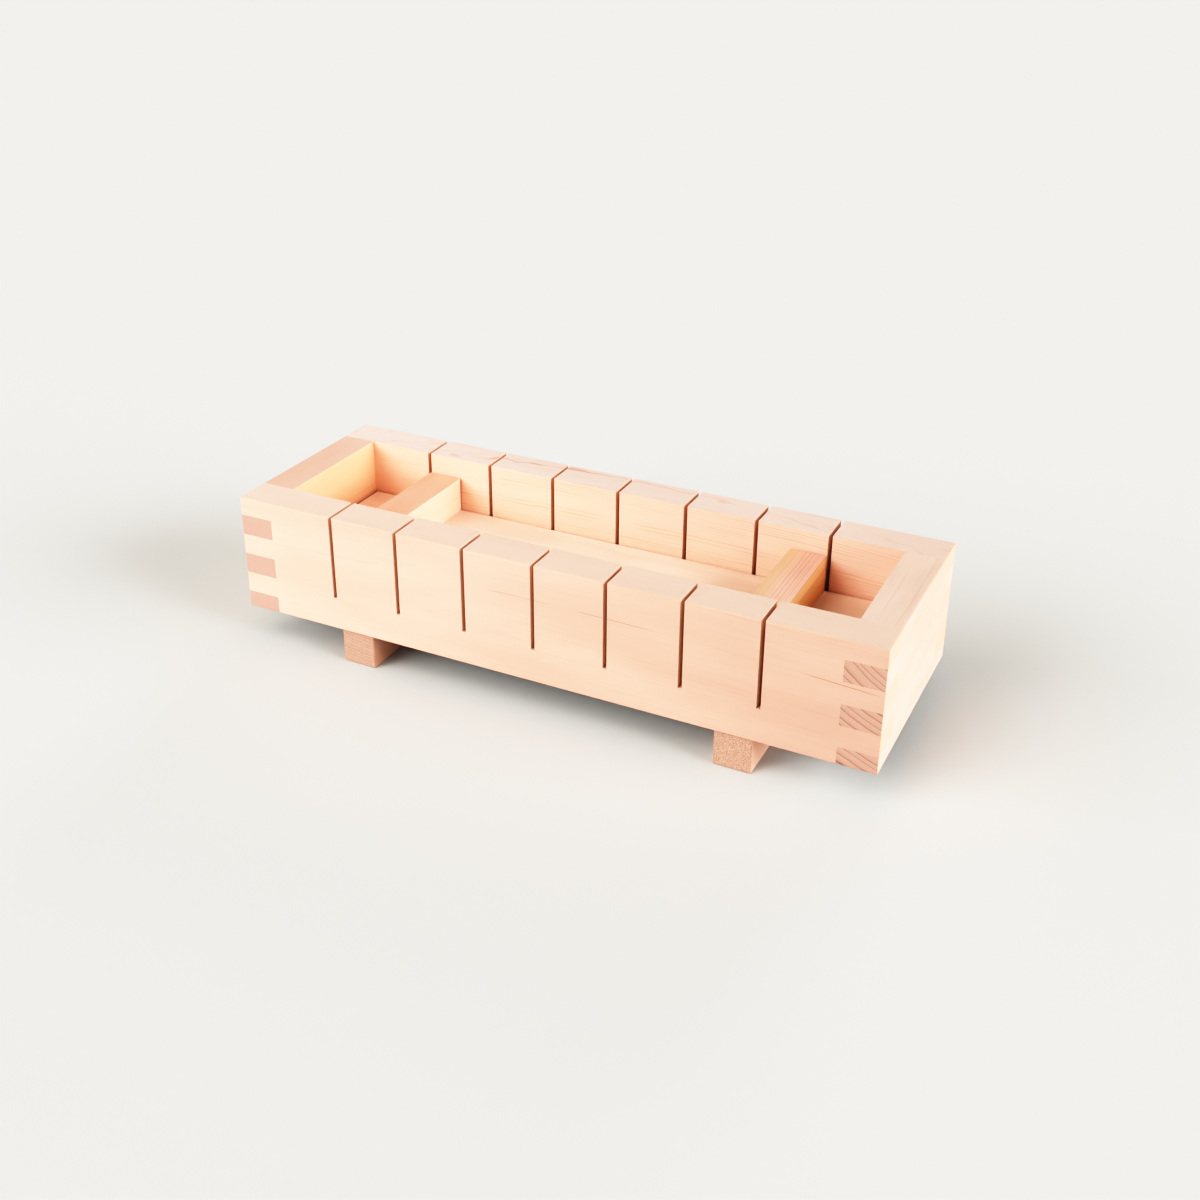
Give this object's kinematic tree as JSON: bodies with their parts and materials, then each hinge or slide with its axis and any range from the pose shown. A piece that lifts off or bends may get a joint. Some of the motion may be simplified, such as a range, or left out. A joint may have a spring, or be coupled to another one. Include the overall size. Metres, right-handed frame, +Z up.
{
  "type": "sushi rice mold press",
  "caption": "Wooden box press for pressed sushi: a finger-jointed frame with knife kerfs, a base board on cross feet and a loose pressing lid with battens.",
  "frame": {"origin": "on the table, under the middle of the press, in the plane of the undersides of its feet", "axes": "+X along the press to the right, +Y to the back, +Z up along the way the frame and the lid lift off"},
  "size_m": [0.27, 0.09, 0.065],
  "materials": {
    "side_board_wood": "bare planed cypress, long grain along the board, satin, sanded edges",
    "end_board_wood": "bare planed cypress, long grain across the box, end grain at the fingers",
    "base_board_wood": "bare planed cypress, long grain along the board",
    "foot_wood": "bare cypress bar, speckled end grain",
    "lid_board_wood": "bare planed cypress, long grain along the board",
    "batten_wood": "bare planed cypress bar, fine straight grain",
    "dowel_wood": "bare hardwood dowel"
  },
  "bodies": {
    "base": {"base_board": "base_board_wood", "left_foot": "foot_wood", "right_foot": "foot_wood", "left_foot_front_dowel": "dowel_wood", "left_foot_back_dowel": "dowel_wood", "right_foot_front_dowel": "dowel_wood", "right_foot_back_dowel": "dowel_wood"},
    "frame": {"front_side_board": "side_board_wood", "back_side_board": "side_board_wood", "left_end_board": "end_board_wood", "right_end_board": "end_board_wood"},
    "lid": {"lid_board": "lid_board_wood", "left_batten": "batten_wood", "right_batten": "batten_wood", "left_batten_front_dowel": "dowel_wood", "left_batten_back_dowel": "dowel_wood", "right_batten_front_dowel": "dowel_wood", "right_batten_back_dowel": "dowel_wood"}
  },
  "joints": [
    {"name": "frame_lift", "type": "slide", "parent": "base", "child": "frame", "axis": [0, 0, 1], "range_m": [0, 0.05]},
    {"name": "lid_lift", "type": "slide", "parent": "base", "child": "lid", "axis": [0, 0, 1], "range_m": [0, 0.04]}
  ]
}
